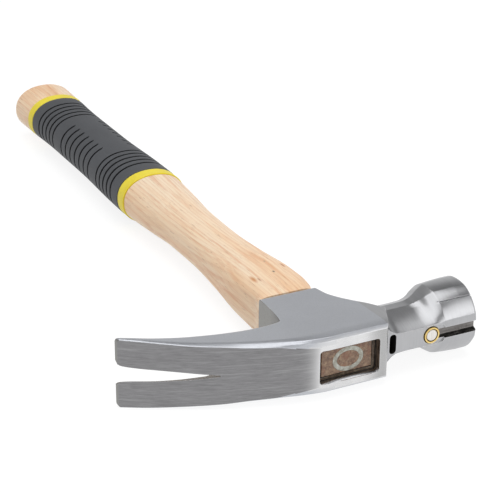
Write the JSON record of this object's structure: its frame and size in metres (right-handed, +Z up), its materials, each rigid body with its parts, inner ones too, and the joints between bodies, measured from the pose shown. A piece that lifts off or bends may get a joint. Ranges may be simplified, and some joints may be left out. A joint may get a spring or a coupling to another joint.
{
  "type": "straight claw hammer",
  "caption": "Straight claw hammer with a forged steel head, a magnetic nail starter in the poll, a hickory handle and a ribbed rubber grip, lying on its side.",
  "frame": {"origin": "middle of the bounding box's base, with the hammer lying on its side", "axes": "+Z up through the cheeks, +Y along the handle towards the butt, +X from the claws towards the striking face"},
  "size_m": [0.1508, 0.34, 0.0304],
  "materials": {
    "head": "ground and brushed, with polished edges",
    "magnet": "plated",
    "magnet_cup": "bright",
    "handle": "satin lacquer",
    "ring_wedge": "dull under lacquer",
    "resin_seal": "set resin",
    "grip": "matt, ribbed",
    "front_band": "satin",
    "rear_band": "satin"
  },
  "bodies": {
    "root": {"head": "head", "magnet": "magnet", "magnet_cup": "magnet_cup", "handle": "handle", "ring_wedge": "ring_wedge", "resin_seal": "resin_seal", "grip": "grip", "front_band": "front_band", "rear_band": "rear_band"}
  },
  "joints": []
}
